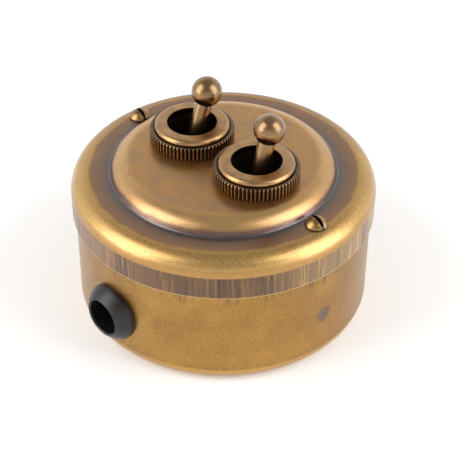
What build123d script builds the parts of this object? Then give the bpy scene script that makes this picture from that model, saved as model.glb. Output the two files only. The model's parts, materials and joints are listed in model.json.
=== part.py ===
from build123d import *
from math import cos, pi, radians, sin, sqrt, tan
import os

os.makedirs("parts", exist_ok=True)

# A round surface switch in aged brass, with two dollies side by side.
# A spun cup is screwed to the wall. A stepped cover laps over its rim, and carries two switches,
# each clamped through the cover by a fluted ring nut in front and a hexagon nut behind.
# The origin is the centre of the cup's back, and Z leaves the wall.
# X runs through both dollies and both cover screws, and Y is the way the dollies are thrown.
# The cable comes in at -Y. All sizes are in millimetres, and angles in degrees.

# Cover, spun from sheet, and made wide enough for the rings, a margin, the flat ring and the shoulder
cover_sheet = 0.7
skirt_edge_height = 27.4
cover_flat_height = 37.8
shoulder_radius = 4.6
flat_ring_width = 4.6
dome_margin = 6.735
dome_foot_fillet = 0.9
dome_rise = 3.4
dome_edge_radius = 5.0
dome_side_angle = 60.0

# Cup, spun from thicker sheet
box_sheet = 1.0
box_corner_radius = 4.0
rim_gap = 1.1
skirt_gap = 0.1
wall_hole_spacing = 50.8
wall_hole_diameter = 5.0

# Cover screws and the straps that they screw into
screw_head_diameter = 5.6
screw_head_edge = 0.25
screw_head_crown = 1.75
screw_shank_diameter = 3.5
screw_length = 8.0
screw_slot_width = 0.8
screw_slot_depth = 1.1
screw_slot_turn = -9.5
screw_hole_gap = 0.25
screw_seat_gap = 0.05
lug_sheet = 1.5
lug_width = 8.0
lug_screw_margin = 3.68
lug_bend_radius = 3.0
lug_foot_height = 9.0
braze_gap = 0.03
weld_height = 14.8
weld_dent_radius = 2.4
weld_dent_depth = 0.3

# Rubber grommet in the cup's wall
cable_height = 12.9
cable_bore_diameter = 9.2
grommet_neck_diameter = 12.0
grommet_flange_diameter = 14.8
grommet_stand = 3.7
grommet_inner_flange = 2.2
grommet_rim_height = 0.8
grommet_face_radius = 3.0
grommet_edge_break = 0.35
grommet_gap = 0.05

# Earth terminal on the cup's floor
earth_place = (18.0, -20.0)
earth_width = 6.0
earth_height = 7.0
earth_rivet_diameter = 3.0

# Switches: ring nut, bush, washer and back nut
ring_spacing = 1.73
ring_height = 4.7
ring_fluted_height = 3.4
ring_diameter = 21.2
ring_land_width = 0.85
ring_collar_rounding = 1.1
ring_groove_width = 0.35
ring_groove_depth = 0.5
ring_lip = 1.4
flute_count = 66
flute_depth = 0.4
flute_share = 0.8
ring_edge_bevel = 0.24
throat_diameter = 12.4
thread_diameter = 16.0
thread_gap = 0.05
cover_hole_gap = 0.2
bush_flange_diameter = 18.4
bush_flange_height = 1.2
bush_spigot_diameter = 14.0
bush_lip_height = 0.8
washer_inset = 0.1
washer_sheet = 0.6
washer_teeth = 12
nut_across_flats = 20.0
nut_height = 2.2

# Dollies, turned in one piece with their tails
left_lean = 19.2
right_lean = 15.4
pivot_depth = 8.0
ball_diameter = 7.7
ball_height = 15.45
neck_top_diameter = 4.2
neck_foot_diameter = 4.6
hub_diameter = 8.0
tail_diameter = 6.8
tail_plunger_stand = 1.7
tail_chamfer = 0.4
stop_gap = 0.2
pin_diameter = 3.0
pin_fit = 0.02
pin_running_gap = 0.06
pin_inset = 0.2

# Sprung plunger in the dolly's tail
plunger_reach = 11.2
plunger_head_diameter = 4.3
plunger_head_length = 1.05
plunger_stem_diameter = 2.2
plunger_stem_length = 2.6
plunger_gap = 0.1
plunger_bore_depth = 6.4
spring_wire_diameter = 0.6
spring_diameter = 3.8
spring_coils = 5
spring_end_gap = 0.05

# Pressed frame and moulded body
frame_sheet = 1.0
frame_width = 20.0
body_length = 32.0
body_height = 15.2
body_floor = 3.0
cavity_width = 13.0
cavity_length = 25.0
strap_width = 12.0
strap_foot = 3.0
strap_gap = 0.05
frame_corner = 1.5
rib_height = 3.5
rib_width = 13.0
rib_thickness = 1.2

# Rocker with its two contacts
rocker_tilt = 8.0
rocker_sheet = 1.2
rocker_width = 7.0
rocker_arm = 11.0
rocker_hub_length = 2.7
contact_place = 9.5
contact_diameter = 3.0
contact_height = 0.8
contact_gap = 0.1
tip_gap = 0.1
trunnion_diameter = 1.8
trunnion_length = 10.8
trunnion_cover = 0.2
cradle_gap = 0.06
cradle_spacing = 8.4
cradle_sheet = 1.0
cradle_length = 3.6

# Terminals, brass blocks under the moulding with a post through its floor
terminal_width = 6.0
terminal_height = 6.0
post_width = 3.0
post_gap = 0.05
wire_hole_diameter = 2.8
clamp_screw_diameter = 3.0
clamp_head_diameter = 5.2
clamp_head_height = 1.6

# Sizes that follow from these
switch_pitch = ring_diameter + ring_spacing
dome_foot_radius = (switch_pitch + ring_diameter) / 2 + dome_margin
cover_radius = dome_foot_radius + flat_ring_width + shoulder_radius
cover_bore = cover_radius - cover_sheet
cover_under = cover_flat_height - cover_sheet
dome_top = cover_flat_height + dome_rise
dome_under = dome_top - cover_sheet
side_tangent = tan(radians(dome_side_angle / 2))
dome_foot_corner = dome_foot_radius - dome_foot_fillet * side_tangent
dome_top_corner = dome_foot_corner - dome_rise / tan(radians(dome_side_angle))

box_radius = cover_bore - skirt_gap
box_bore = box_radius - box_sheet
box_height = cover_flat_height - shoulder_radius - rim_gap

screw_circle = dome_foot_radius + screw_head_diameter / 2 + screw_seat_gap
screw_hole_diameter = screw_shank_diameter + 2 * screw_hole_gap

ring_seat = dome_top
ring_top = ring_seat + ring_height
ring_radius = ring_diameter / 2
collar_radius = ring_radius - ring_land_width - ring_groove_width
washer_diameter = ring_diameter - 2 * washer_inset
bush_top = ring_top - ring_lip - stop_gap
washer_bottom = dome_under - washer_sheet
nut_bottom = washer_bottom - nut_height

pivot_height = ring_top - pivot_depth
bush_flange_top = pivot_height - pin_diameter / 2 - stop_gap
frame_top = bush_flange_top - bush_flange_height
body_top = frame_top - frame_sheet
body_bottom = body_top - body_height
body_width = frame_width - 2 * frame_sheet - 2 * strap_gap
cavity_floor = body_bottom + body_floor

tail_length = plunger_reach - tail_plunger_stand
rocker_apex = pivot_height - plunger_reach - tip_gap
rocker_pivot = rocker_apex - rocker_sheet - trunnion_cover - trunnion_diameter / 2
arm_top_at_rest = rocker_pivot + (rocker_apex - rocker_pivot) * cos(radians(rocker_tilt))
fixed_contact_top = arm_top_at_rest - rocker_sheet - contact_height - contact_gap
terminal_bottom = body_bottom - terminal_height

switches = (("left", -switch_pitch / 2, left_lean), ("right", switch_pitch / 2, right_lean))


def cup_section(radius, foot, height, corner):
    """Half section of a round cup from its axis out, rounded at the foot."""
    with BuildSketch(Plane.XZ) as section:
        with Locations((0, foot)):
            Rectangle(radius, height - foot, align=(Align.MIN, Align.MIN))
        fillet(corner_at(section, radius, foot), corner)
    return section.sketch


def corner_at(section, across, up):
    """The section's corner nearest to a point given in the section's own plane."""
    return section.vertices().sort_by_distance((across, up, 0))[0]


def round_head_screw(plane, shank, length, head, edge, crown, slot_width, slot_depth, slot_turn):
    """Slotted round-head screw, seated on the plane with its shank running down behind it."""
    with BuildPart(plane) as screw:
        with Locations((0, 0, -length / 2)):
            Cylinder(shank / 2, length)
        with Locations((0, 0, edge / 2)):
            Cylinder(head / 2, edge)
        crown_ball = ((head / 2) ** 2 + crown**2) / (2 * crown)
        with BuildSketch(Plane(plane.origin, x_dir=plane.x_dir, z_dir=-plane.y_dir)):
            with BuildLine():
                Line((0, edge), (head / 2, edge))
                RadiusArc((head / 2, edge), (0, edge + crown), -crown_ball)
                Line((0, edge + crown), (0, edge))
            make_face()
        revolve(axis=Axis(plane.origin, plane.z_dir))
        with Locations(Location((0, 0, edge + crown - slot_depth / 2), (0, 0, slot_turn))):
            Box(2 * head, slot_width, slot_depth, mode=Mode.SUBTRACT)
    return screw.part


# Cup: the wall fixings lie on Y, where a screwdriver passes between the switches and the wall.
# Two shallow dents show where the straps inside are welded on.
with BuildPart() as back_box:
    revolve(cup_section(box_radius, 0, box_height, box_corner_radius), axis=Axis.Z)
    cup_inside = cup_section(box_bore, box_sheet, box_height, box_corner_radius - box_sheet)
    revolve(cup_inside, axis=Axis.Z, mode=Mode.SUBTRACT)
    with BuildSketch():
        with Locations((0, wall_hole_spacing / 2), (0, -wall_hole_spacing / 2)):
            Circle(wall_hole_diameter / 2)
        with Locations(earth_place):
            Circle(earth_rivet_diameter / 2 + pin_fit)
    extrude(amount=box_sheet, mode=Mode.SUBTRACT)
    with BuildSketch(Plane.XZ):
        with Locations((0, cable_height)):
            Circle(grommet_neck_diameter / 2 + grommet_gap)
    extrude(amount=cover_radius, mode=Mode.SUBTRACT)
    dent_centre = box_radius + weld_dent_radius - weld_dent_depth
    with Locations((dent_centre, 0, weld_height), (-dent_centre, 0, weld_height)):
        Sphere(weld_dent_radius, mode=Mode.SUBTRACT)
back_box.part.label = "back_box"
export_step(back_box.part, "parts/back_box.step")

# Cover: skirt, rounded shoulder, flat ring and domed step, all in one sheet.
with BuildPart() as cover:
    with BuildSketch(Plane.XZ) as cover_section:
        with BuildLine():
            Polyline(
                (0, skirt_edge_height),
                (cover_radius, skirt_edge_height),
                (cover_radius, cover_flat_height),
                (dome_foot_corner, cover_flat_height),
                (dome_top_corner, dome_top),
                (0, dome_top),
                close=True,
            )
        make_face()
        fillet(corner_at(cover_section, cover_radius, cover_flat_height), shoulder_radius)
        fillet(corner_at(cover_section, dome_foot_corner, cover_flat_height), dome_foot_fillet)
        fillet(corner_at(cover_section, dome_top_corner, dome_top), dome_edge_radius)
    revolve(axis=Axis.Z)
    offset(amount=-cover_sheet, openings=cover.faces().sort_by(Axis.Z)[0])
    with BuildSketch(Plane.XY.offset(skirt_edge_height)):
        with Locations((-switch_pitch / 2, 0), (switch_pitch / 2, 0)):
            Circle(thread_diameter / 2 + cover_hole_gap)
        with Locations((-screw_circle, 0), (screw_circle, 0)):
            Circle(screw_hole_diameter / 2)
    extrude(amount=dome_top, mode=Mode.SUBTRACT)
cover.part.label = "cover"
export_step(cover.part, "parts/cover.step")

with BuildPart() as cover_screws:
    for sign in (-1, 1):
        add(
            round_head_screw(
                Plane((sign * screw_circle, 0, cover_flat_height)),
                screw_shank_diameter,
                screw_length,
                screw_head_diameter,
                screw_head_edge,
                screw_head_crown,
                screw_slot_width,
                screw_slot_depth,
                screw_slot_turn,
            )
        )
cover_screws.part.label = "cover_screws"
export_step(cover_screws.part, "parts/cover_screws.step")

# Cover lugs: brass straps that follow the cup's wall and fold in under the cover's flat ring.
lug_back = box_bore - braze_gap
lug_reach = lug_back - screw_circle + lug_screw_margin
for side, sign in (("left", -1), ("right", 1)):
    with BuildPart() as cover_lug:
        with BuildSketch(Plane.XY.offset(lug_foot_height)):
            Circle(lug_back)
            Circle(lug_back - lug_sheet, mode=Mode.SUBTRACT)
            with Locations((sign * lug_back, 0)):
                Rectangle(lug_back, lug_width, mode=Mode.INTERSECT)
        extrude(amount=cover_under - lug_foot_height)
        with BuildSketch(Plane.XY.offset(cover_under - lug_sheet)):
            Circle(lug_back)
            with Locations((sign * lug_back, 0)):
                Rectangle(2 * lug_reach, lug_width, mode=Mode.INTERSECT)
        extrude(amount=lug_sheet)
        inner_bend = cover_lug.edges().filter_by(GeomType.CIRCLE).group_by(Axis.Z)[-2]
        fillet(inner_bend, lug_bend_radius - lug_sheet)
        outer_bend = cover_lug.edges().filter_by(GeomType.CIRCLE).group_by(Axis.Z)[-1]
        fillet(outer_bend, lug_bend_radius)
        with BuildSketch(Plane.XY.offset(cover_under)):
            with Locations((sign * screw_circle, 0)):
                Circle(screw_shank_diameter / 2 + thread_gap)
        extrude(amount=-lug_sheet, mode=Mode.SUBTRACT)
    cover_lug.part.label = f"cover_lug_{side}"
    export_step(cover_lug.part, f"parts/{cover_lug.part.label}.step")

# Grommet: turned about the cable's axis, with a groove that follows the cup's curved wall.
with BuildPart() as cable_grommet:
    cable_axis = Axis((0, 0, cable_height), (0, -1, 0))
    bore_radius = cable_bore_diameter / 2
    flange_radius = grommet_flange_diameter / 2
    grommet_face = box_radius + grommet_stand
    grommet_back = box_bore - grommet_inner_flange
    grommet_rim = box_radius + grommet_rim_height
    with BuildSketch(Plane((0, 0, cable_height), x_dir=(0, -1, 0), z_dir=(1, 0, 0))):
        with BuildLine():
            Polyline(
                (grommet_face - grommet_edge_break, bore_radius),
                (grommet_back, bore_radius),
                (grommet_back, flange_radius - grommet_edge_break),
                (grommet_back + grommet_edge_break, flange_radius),
                (grommet_rim, flange_radius),
            )
            face_start = (grommet_rim, flange_radius)
            face_end = (grommet_face, bore_radius + grommet_edge_break)
            RadiusArc(face_start, face_end, grommet_face_radius)
            Line(face_end, (grommet_face - grommet_edge_break, bore_radius))
        make_face()
    revolve(axis=cable_axis)
    with BuildSketch(Plane.XY.offset(cable_height)):
        Circle(box_radius + grommet_gap)
        Circle(box_bore - grommet_gap, mode=Mode.SUBTRACT)
    extrude(amount=grommet_flange_diameter, both=True, mode=Mode.SUBTRACT)
    neck_back = box_bore - grommet_inner_flange / 2
    with BuildSketch(Plane((0, -neck_back, cable_height), z_dir=(0, -1, 0))):
        Circle(grommet_neck_diameter / 2)
        Circle(bore_radius, mode=Mode.SUBTRACT)
    extrude(amount=box_radius + grommet_rim_height / 2 - neck_back)
cable_grommet.part.label = "cable_grommet"
export_step(cable_grommet.part, "parts/cable_grommet.step")

# Earth terminal: a block riveted through the cup's floor, with its clamp screw on top.
with BuildPart() as earth_terminal:
    with BuildSketch(Plane.XY.offset(box_sheet)):
        with Locations(earth_place):
            Rectangle(earth_width, earth_width)
    extrude(amount=earth_height)
    with BuildSketch():
        with Locations(earth_place):
            Circle(earth_rivet_diameter / 2)
    extrude(amount=box_sheet)
    with BuildSketch(Plane((earth_place[0], earth_place[1], box_sheet + earth_height / 2), z_dir=(0, 1, 0))):
        Circle(wire_hole_diameter / 2)
    extrude(amount=earth_width, both=True, mode=Mode.SUBTRACT)
    with BuildSketch(Plane.XY.offset(box_sheet + earth_height / 2)):
        with Locations(earth_place):
            Circle(clamp_screw_diameter / 2 + thread_gap)
    extrude(amount=earth_height, mode=Mode.SUBTRACT)
earth_terminal.part.label = "earth_terminal"
export_step(earth_terminal.part, "parts/earth_terminal.step")

with BuildPart() as earth_screw:
    add(
        round_head_screw(
            Plane((earth_place[0], earth_place[1], box_sheet + earth_height)),
            clamp_screw_diameter,
            earth_height / 2,
            clamp_head_diameter,
            clamp_head_height / 2,
            clamp_head_height / 2,
            screw_slot_width,
            clamp_head_height / 2,
            0,
        )
    )
earth_screw.part.label = "earth_screw"
export_step(earth_screw.part, "parts/earth_screw.step")

for side, x, lean in switches:
    # Ring nut: straight flutes below, a groove, then a smooth collar with a rounded edge.
    with BuildPart() as fluted_ring:
        throat_radius = throat_diameter / 2
        ring_bore = thread_diameter / 2 + thread_gap
        flute_top = ring_seat + ring_fluted_height
        with BuildSketch(Plane((x, 0, 0), x_dir=(1, 0, 0), z_dir=(0, -1, 0))) as ring_section:
            with BuildLine():
                Polyline(
                    (ring_bore, ring_seat),
                    (ring_radius - ring_edge_bevel, ring_seat),
                    (ring_radius, ring_seat + ring_edge_bevel),
                    (ring_radius, flute_top - ring_edge_bevel),
                    (ring_radius - ring_edge_bevel, flute_top),
                    (collar_radius + ring_groove_width, flute_top),
                    (collar_radius + ring_groove_width, flute_top - ring_groove_depth),
                    (collar_radius, flute_top - ring_groove_depth),
                    (collar_radius, ring_top),
                    (throat_radius, ring_top),
                    (throat_radius, ring_top - ring_lip),
                    (ring_bore, ring_top - ring_lip),
                    close=True,
                )
            make_face()
            fillet(corner_at(ring_section, collar_radius, ring_top), ring_collar_rounding)
        revolve(axis=Axis((x, 0, 0), (0, 0, 1)))
        flute_half_width = flute_share * pi * ring_radius / flute_count
        with BuildSketch(Plane((x, 0, ring_seat))):
            with PolarLocations(ring_radius, flute_count):
                Polygon(
                    (-flute_depth, 0),
                    (flute_depth, -2 * flute_half_width),
                    (flute_depth, 2 * flute_half_width),
                    align=None,
                )
        extrude(amount=ring_fluted_height, mode=Mode.SUBTRACT)
    fluted_ring.part.label = f"fluted_ring_{side}"
    export_step(fluted_ring.part, f"parts/{fluted_ring.part.label}.step")

    # Bush: threaded tube, staked into the frame, with a lip at its foot that stops the tail.
    pivot = Vector(x, 0, pivot_height)
    lip_drop = pivot_height - body_top
    lip_radius = lip_drop * tan(radians(lean)) + tail_diameter / 2 / cos(radians(lean)) + stop_gap
    with BuildPart() as bush:
        with BuildSketch(Plane((x, 0, 0), x_dir=(1, 0, 0), z_dir=(0, -1, 0))):
            with BuildLine():
                Polyline(
                    (lip_radius, body_top),
                    (bush_spigot_diameter / 2, body_top),
                    (bush_spigot_diameter / 2, frame_top),
                    (bush_flange_diameter / 2, frame_top),
                    (bush_flange_diameter / 2, bush_flange_top),
                    (thread_diameter / 2, bush_flange_top),
                    (thread_diameter / 2, bush_top),
                    (throat_radius, bush_top),
                    (throat_radius, body_top + bush_lip_height),
                    (lip_radius, body_top + bush_lip_height),
                    close=True,
                )
            make_face()
        revolve(axis=Axis((x, 0, 0), (0, 0, 1)))
        with BuildSketch(Plane(pivot, z_dir=(1, 0, 0))):
            Circle(pin_diameter / 2 + pin_fit)
        extrude(amount=thread_diameter, both=True, mode=Mode.SUBTRACT)
    bush.part.label = f"bush_{side}"
    export_step(bush.part, f"parts/{bush.part.label}.step")

    with BuildPart() as lock_washer:
        with BuildSketch(Plane((x, 0, washer_bottom))):
            Circle(washer_diameter / 2)
            Circle(thread_diameter / 2 + cover_hole_gap, mode=Mode.SUBTRACT)
            tooth_gap = washer_diameter / washer_teeth
            with PolarLocations(washer_diameter / 2, washer_teeth):
                Rectangle(tooth_gap, tooth_gap, mode=Mode.SUBTRACT)
        extrude(amount=washer_sheet)
    lock_washer.part.label = f"lock_washer_{side}"
    export_step(lock_washer.part, f"parts/{lock_washer.part.label}.step")

    with BuildPart() as back_nut:
        with BuildSketch(Plane((x, 0, nut_bottom))):
            RegularPolygon(nut_across_flats / 2, 6, major_radius=False, rotation=30)
            Circle(thread_diameter / 2 + thread_gap, mode=Mode.SUBTRACT)
        extrude(amount=nut_height)
    back_nut.part.label = f"back_nut_{side}"
    export_step(back_nut.part, f"parts/{back_nut.part.label}.step")

    # Dolly: ball, tapered neck, hub on the pivot pin, and a tail bored for the plunger.
    lean_up = Vector(0, sin(radians(lean)), cos(radians(lean)))
    lean_section = Plane(pivot, x_dir=(1, 0, 0), z_dir=(0, -cos(radians(lean)), sin(radians(lean))))
    lean_axis = Axis(pivot, lean_up)
    ball_radius = ball_diameter / 2
    hub_radius = hub_diameter / 2
    tail_radius = tail_diameter / 2
    with BuildPart() as dolly:
        neck_top = ball_height - sqrt(ball_radius**2 - (neck_top_diameter / 2) ** 2)
        neck_foot = sqrt(hub_radius**2 - (neck_foot_diameter / 2) ** 2)
        tail_top = -sqrt(hub_radius**2 - tail_radius**2)
        with BuildSketch(lean_section):
            with BuildLine():
                crown = (0, ball_height + ball_radius)
                neck_start = (neck_top_diameter / 2, neck_top)
                neck_end = (neck_foot_diameter / 2, neck_foot)
                hub_end = (tail_radius, tail_top)
                ThreePointArc(crown, (ball_radius, ball_height), neck_start)
                Line(neck_start, neck_end)
                ThreePointArc(neck_end, (hub_radius, 0), hub_end)
                Polyline(
                    hub_end,
                    (tail_radius, tail_chamfer - tail_length),
                    (tail_radius - tail_chamfer, -tail_length),
                    (0, -tail_length),
                    crown,
                )
            make_face()
        revolve(axis=lean_axis)
        with BuildSketch(Plane(pivot, z_dir=(1, 0, 0))):
            Circle(pin_diameter / 2 + pin_running_gap)
        extrude(amount=hub_diameter, both=True, mode=Mode.SUBTRACT)
        with BuildSketch(Plane(pivot - lean_up * tail_length, z_dir=lean_up)):
            Circle(plunger_head_diameter / 2 + plunger_gap)
        extrude(amount=plunger_bore_depth, mode=Mode.SUBTRACT)
    dolly.part.label = f"dolly_{side}"
    export_step(dolly.part, f"parts/{dolly.part.label}.step")

    with BuildPart() as pivot_pin:
        with BuildSketch(Plane(pivot, z_dir=(1, 0, 0))):
            Circle(pin_diameter / 2)
        extrude(amount=thread_diameter / 2 - pin_inset, both=True)
    pivot_pin.part.label = f"pivot_pin_{side}"
    export_step(pivot_pin.part, f"parts/{pivot_pin.part.label}.step")

    # Plunger: a stem inside the spring, and a round-nosed head that rides on the rocker.
    nose_radius = plunger_head_diameter / 2
    nose_centre = nose_radius - plunger_reach
    head_top = nose_centre + plunger_head_length
    with BuildPart() as plunger:
        with BuildSketch(lean_section):
            with BuildLine():
                stem_radius = plunger_stem_diameter / 2
                Polyline(
                    (0, -plunger_reach),
                    (0, head_top + plunger_stem_length),
                    (stem_radius, head_top + plunger_stem_length),
                    (stem_radius, head_top),
                    (nose_radius, head_top),
                    (nose_radius, nose_centre),
                )
                RadiusArc((nose_radius, nose_centre), (0, -plunger_reach), nose_radius)
            make_face()
        revolve(axis=lean_axis)
    plunger.part.label = f"plunger_{side}"
    export_step(plunger.part, f"parts/{plunger.part.label}.step")

    # Spring: an open coil between the end of the bore and the plunger's head.
    with BuildPart() as spring:
        wire_radius = spring_wire_diameter / 2
        spring_foot = head_top + wire_radius + spring_end_gap
        spring_head = plunger_bore_depth - tail_length - wire_radius - spring_end_gap
        spring_height = spring_head - spring_foot
        with BuildLine():
            coil = Helix(
                spring_height / spring_coils,
                spring_height,
                spring_diameter / 2 - wire_radius,
                center=pivot + lean_up * spring_foot,
                direction=lean_up,
            )
        with BuildSketch(Plane(coil @ 0, z_dir=coil % 0)):
            Circle(wire_radius)
        sweep(is_frenet=True)
    spring.part.label = f"spring_{side}"
    export_step(spring.part, f"parts/{spring.part.label}.step")

    # Frame: pressed plate with two straps folded down and crimped under the moulding.
    with BuildPart() as frame:
        with BuildSketch(Plane((x, 0, frame_top))):
            Rectangle(frame_width, body_length)
        extrude(amount=-frame_sheet)
        fillet(frame.edges().filter_by(Axis.Z), frame_corner)
        strap_depth = body_height + 2 * frame_sheet
        strap_middle = (x, 0, frame_top - strap_depth / 2)
        with BuildSketch(Plane(strap_middle, x_dir=(1, 0, 0), z_dir=(0, -1, 0))) as strap_section:
            Rectangle(frame_width, strap_depth)
            fillet(strap_section.vertices(), frame_corner)
            Rectangle(frame_width - 2 * frame_sheet, body_height, mode=Mode.SUBTRACT)
            with Locations((0, -body_height / 2)):
                Rectangle(frame_width - 2 * strap_foot, 4 * frame_sheet, mode=Mode.SUBTRACT)
            with Locations((0, body_height / 2)):
                Rectangle(frame_width - 2 * strap_foot, 4 * frame_sheet, mode=Mode.SUBTRACT)
        extrude(amount=strap_width / 2, both=True)
        with BuildSketch(Plane((x, 0, frame_top))):
            Circle(bush_spigot_diameter / 2 + pin_fit)
        extrude(amount=-frame_sheet, mode=Mode.SUBTRACT)
    frame.part.label = f"frame_{side}"
    export_step(frame.part, f"parts/{frame.part.label}.step")

    # Moulding: open cavity for the rocker, slots for the terminal posts, and barriers below.
    fixed_contact_drop = rocker_apex - rocker_pivot - rocker_sheet / cos(radians(rocker_tilt))
    fixed_contact_place = contact_place + fixed_contact_drop * sin(radians(rocker_tilt))
    terminal_places = (("near", -fixed_contact_place), ("common", 0.0), ("far", fixed_contact_place))
    with BuildPart() as switch_body:
        with BuildSketch(Plane((x, 0, body_bottom))):
            Rectangle(body_width, body_length)
        extrude(amount=body_height)
        fillet(switch_body.edges().filter_by(Axis.Z), frame_corner)
        chamfer(switch_body.edges().filter_by(Axis.Y), frame_corner - frame_sheet)
        with BuildSketch(Plane((x, 0, cavity_floor))):
            Rectangle(cavity_width, cavity_length)
        extrude(amount=body_height, mode=Mode.SUBTRACT)
        with BuildSketch(Plane((x, 0, body_bottom))):
            with Locations([(0, place) for name, place in terminal_places]):
                Rectangle(post_width + 2 * post_gap, post_width + 2 * post_gap)
        extrude(amount=body_floor, mode=Mode.SUBTRACT)
        with BuildSketch(Plane((x, 0, body_bottom))):
            with Locations((0, -fixed_contact_place / 2), (0, fixed_contact_place / 2)):
                Rectangle(rib_width, rib_thickness)
        extrude(amount=-rib_height)
    switch_body.part.label = f"switch_body_{side}"
    export_step(switch_body.part, f"parts/{switch_body.part.label}.step")

    # Rocker: a shallow V of strip on a trunnion, with a contact under each arm.
    tilt_cos = cos(radians(rocker_tilt))
    tilt_sin = sin(radians(rocker_tilt))
    tilt_tan = tan(radians(rocker_tilt))
    rocker_origin = Vector(x, 0, rocker_pivot)
    rocker_plane = Plane(rocker_origin, x_dir=(1, 0, 0), z_dir=(0, -tilt_sin, tilt_cos))
    rocker_section = Plane(rocker_origin, x_dir=(0, tilt_cos, tilt_sin), z_dir=(1, 0, 0))
    apex = rocker_apex - rocker_pivot
    under = apex - rocker_sheet / tilt_cos
    with BuildPart(rocker_plane) as rocker:
        with BuildSketch(rocker_section):
            with BuildLine():
                arm_across = rocker_arm * tilt_cos
                arm_up = rocker_arm * tilt_sin
                Polyline(
                    (0, apex),
                    (arm_across, apex + arm_up),
                    (arm_across + rocker_sheet * tilt_sin, apex + arm_up - rocker_sheet * tilt_cos),
                    (0, under),
                    (-arm_across - rocker_sheet * tilt_sin, apex + arm_up - rocker_sheet * tilt_cos),
                    (-arm_across, apex + arm_up),
                    close=True,
                )
            make_face()
            with Locations((0, apex / 2)):
                Rectangle(rocker_hub_length, apex - rocker_sheet / 2)
        extrude(amount=rocker_width / 2, both=True)
        with BuildSketch(rocker_section):
            Circle(trunnion_diameter / 2)
        extrude(amount=trunnion_length / 2, both=True)
        for sign in (-1, 1):
            contact_foot = (0, sign * contact_place * tilt_cos, under + contact_place * tilt_sin)
            with Locations(Location(contact_foot, (sign * rocker_tilt, 0, 0))):
                Cylinder(contact_diameter / 2, 2 * contact_height)
    rocker.part.label = f"rocker_{side}"
    export_step(rocker.part, f"parts/{rocker.part.label}.step")

    # Terminals: each block has a wire hole and a clamp screw from below.
    for name, place in terminal_places:
        with BuildPart() as terminal:
            with BuildSketch(Plane((x, place, terminal_bottom))):
                Rectangle(terminal_width, terminal_width)
            extrude(amount=terminal_height)
            post_top = cavity_floor if name == "common" else fixed_contact_top
            with BuildSketch(Plane((x, place, body_bottom))):
                Rectangle(post_width, post_width)
            extrude(amount=post_top - body_bottom)
            if name == "common":
                cradle_top = rocker_pivot + trunnion_diameter / 2 + trunnion_cover
                with BuildSketch(Plane((x, 0, cavity_floor))):
                    Rectangle(cradle_spacing + 2 * cradle_sheet, cradle_length)
                extrude(amount=cradle_top - cavity_floor)
                with BuildSketch(Plane((x, 0, cavity_floor + cradle_sheet))):
                    Rectangle(cradle_spacing, cradle_length)
                extrude(amount=cradle_top, mode=Mode.SUBTRACT)
                slot_width = trunnion_diameter + 2 * cradle_gap
                with BuildSketch(Plane((x, 0, rocker_pivot), x_dir=(0, 1, 0), z_dir=(1, 0, 0))):
                    Circle(slot_width / 2)
                    with Locations((0, trunnion_diameter)):
                        Rectangle(slot_width, 2 * trunnion_diameter)
                extrude(amount=cradle_spacing, both=True, mode=Mode.SUBTRACT)
                wire_way = (1, 0, 0)
            else:
                with BuildSketch(Plane((x, place, fixed_contact_top - contact_height))):
                    Circle(contact_diameter / 2 + contact_gap)
                extrude(amount=contact_height)
                wire_way = (0, 1, 0)
            with BuildSketch(Plane((x, place, terminal_bottom + terminal_height / 2), z_dir=wire_way)):
                Circle(wire_hole_diameter / 2)
            extrude(amount=terminal_width, both=True, mode=Mode.SUBTRACT)
            with BuildSketch(Plane((x, place, terminal_bottom))):
                Circle(clamp_screw_diameter / 2 + thread_gap)
            extrude(amount=terminal_height / 2, mode=Mode.SUBTRACT)
        terminal.part.label = f"{name}_terminal_{side}"
        export_step(terminal.part, f"parts/{terminal.part.label}.step")

# Clamp screws of all six terminals, with their heads down.
with BuildPart() as terminal_screws:
    for side, x, lean in switches:
        for name, place in terminal_places:
            add(
                round_head_screw(
                    Plane((x, place, terminal_bottom), z_dir=(0, 0, -1)),
                    clamp_screw_diameter,
                    terminal_height / 2,
                    clamp_head_diameter,
                    clamp_head_height / 2,
                    clamp_head_height / 2,
                    screw_slot_width,
                    clamp_head_height / 2,
                    0,
                )
            )
terminal_screws.part.label = "terminal_screws"
export_step(terminal_screws.part, "parts/terminal_screws.step")
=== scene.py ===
import json
from math import ceil, cos, pi, radians, sin, sqrt, tan

import bmesh
import bpy
import numpy as np
from mathutils import Matrix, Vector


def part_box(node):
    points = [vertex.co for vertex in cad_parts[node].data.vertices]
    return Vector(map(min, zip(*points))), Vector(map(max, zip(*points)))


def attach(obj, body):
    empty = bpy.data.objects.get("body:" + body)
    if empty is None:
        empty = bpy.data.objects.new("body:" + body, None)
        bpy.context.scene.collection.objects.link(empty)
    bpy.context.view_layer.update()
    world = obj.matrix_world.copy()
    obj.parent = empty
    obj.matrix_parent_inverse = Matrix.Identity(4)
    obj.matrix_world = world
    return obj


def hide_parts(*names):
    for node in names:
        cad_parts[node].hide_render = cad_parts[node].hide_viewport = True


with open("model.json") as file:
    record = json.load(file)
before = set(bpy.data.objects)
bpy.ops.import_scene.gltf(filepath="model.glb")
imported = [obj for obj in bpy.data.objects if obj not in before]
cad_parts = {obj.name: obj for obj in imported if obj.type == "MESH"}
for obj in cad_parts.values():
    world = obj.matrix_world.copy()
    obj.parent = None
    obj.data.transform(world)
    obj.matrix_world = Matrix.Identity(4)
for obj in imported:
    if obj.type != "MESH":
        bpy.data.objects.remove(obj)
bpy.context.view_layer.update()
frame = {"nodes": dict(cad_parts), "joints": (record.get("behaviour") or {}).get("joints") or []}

# Cup: the round box that is screwed to the wall, spun from brass sheet and rounded at its foot. It is pierced
# for two wall screws, the earth rivet and the cable, and dimpled where the straps inside are welded on.
# Years of handling left it golden brown, with a fine grain all over.
mm = 0.001
cup_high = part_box("back_box")[1]
cup_radius = cup_high.x
cup_height = cup_high.z
cup_sheet = 1.0 * mm
cup_corner = 4.0 * mm
cup_columns = 600
wall_hole_place = 25.4 * mm
wall_hole_radius = 2.5 * mm
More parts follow.
